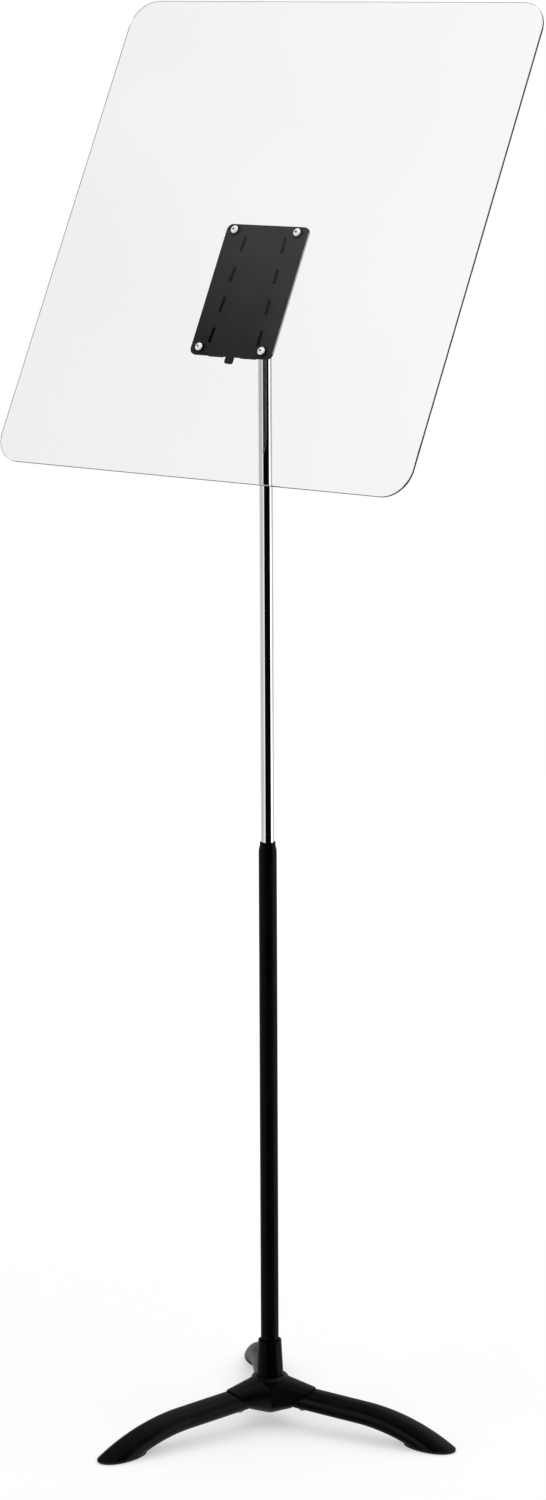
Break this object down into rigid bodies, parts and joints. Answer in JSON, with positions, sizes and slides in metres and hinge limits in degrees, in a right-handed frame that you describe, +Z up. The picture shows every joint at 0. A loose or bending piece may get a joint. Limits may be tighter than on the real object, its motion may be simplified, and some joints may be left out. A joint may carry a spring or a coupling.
{
  "type": "music stand with clear shield",
  "caption": "Telescoping stand on a low tripod base, with a swivelling mast and a tilting clear square panel on a slotted mount plate.",
  "frame": {"origin": "on the floor, under the middle of the whole stand's box; the mast's axis stands 23.8 mm behind it, at Y = +23.8 mm", "axes": "+Z up along the mast; the panel's width lies along X and it faces -Y, its top leaning towards +Y"},
  "size_m": [0.6096, 0.4307, 1.7412],
  "materials": {
    "hub_black": "satin black coat",
    "tube_black": "satin black coat",
    "sole_rubber": "matt black rubber",
    "plate_black": "fine-textured dark grey powder coat",
    "chrome": "bright chrome",
    "zinc": "bright zinc plate",
    "knuckle_grey": "tumbled die casting",
    "nylon": "black nylon",
    "fibre": "brown fibre",
    "washer_rubber": "matt black rubber",
    "clear_panel": "clear cast acrylic, polished"
  },
  "bodies": {
    "base": {"base_hub": "hub_black", "hub_collar": "hub_black", "leg_left": "tube_black", "leg_front": "tube_black", "leg_right": "tube_black", "foot_left": "sole_rubber", "foot_front": "sole_rubber", "foot_right": "sole_rubber", "leg_screws": "zinc", "base_bolt": "zinc", "base_washer": "zinc", "tube_plug": "zinc", "lower_tube": "tube_black", "mouth_bush": "nylon"},
    "clutch": {"clutch_sleeve": "nylon", "clutch_ring": "zinc"},
    "mast": {"mast_tube": "chrome", "clutch_spindle": "zinc", "clutch_washer": "zinc", "clutch_screw": "zinc", "tilt_knuckle": "knuckle_grey", "knuckle_rivet": "zinc"},
    "shield": {"tilt_bracket": "hub_black", "tilt_axle": "zinc", "friction_washers": "fibre", "spring_washer": "zinc", "axle_nut": "zinc", "mount_plate": "plate_black", "shield_panel": "clear_panel", "panel_screws": "zinc", "rubber_washers": "washer_rubber", "nut_washers": "zinc", "panel_nuts": "zinc"}
  },
  "joints": [
    {"name": "height_slide", "type": "slide", "parent": "base", "child": "clutch", "axis": [0, 0, 1], "range_m": [-0.5, 0.07]},
    {"name": "mast_swivel", "type": "hinge", "parent": "clutch", "child": "mast", "pos_m": [0, 0.0238, 0.6], "axis": [0, 0, 1], "continuous": true},
    {"name": "shield_tilt", "type": "hinge", "parent": "mast", "child": "shield", "pos_m": [0, 0.0238, 1.3939], "axis": [-1, 0, 0], "range_deg": [-27.6, 62.4]}
  ]
}
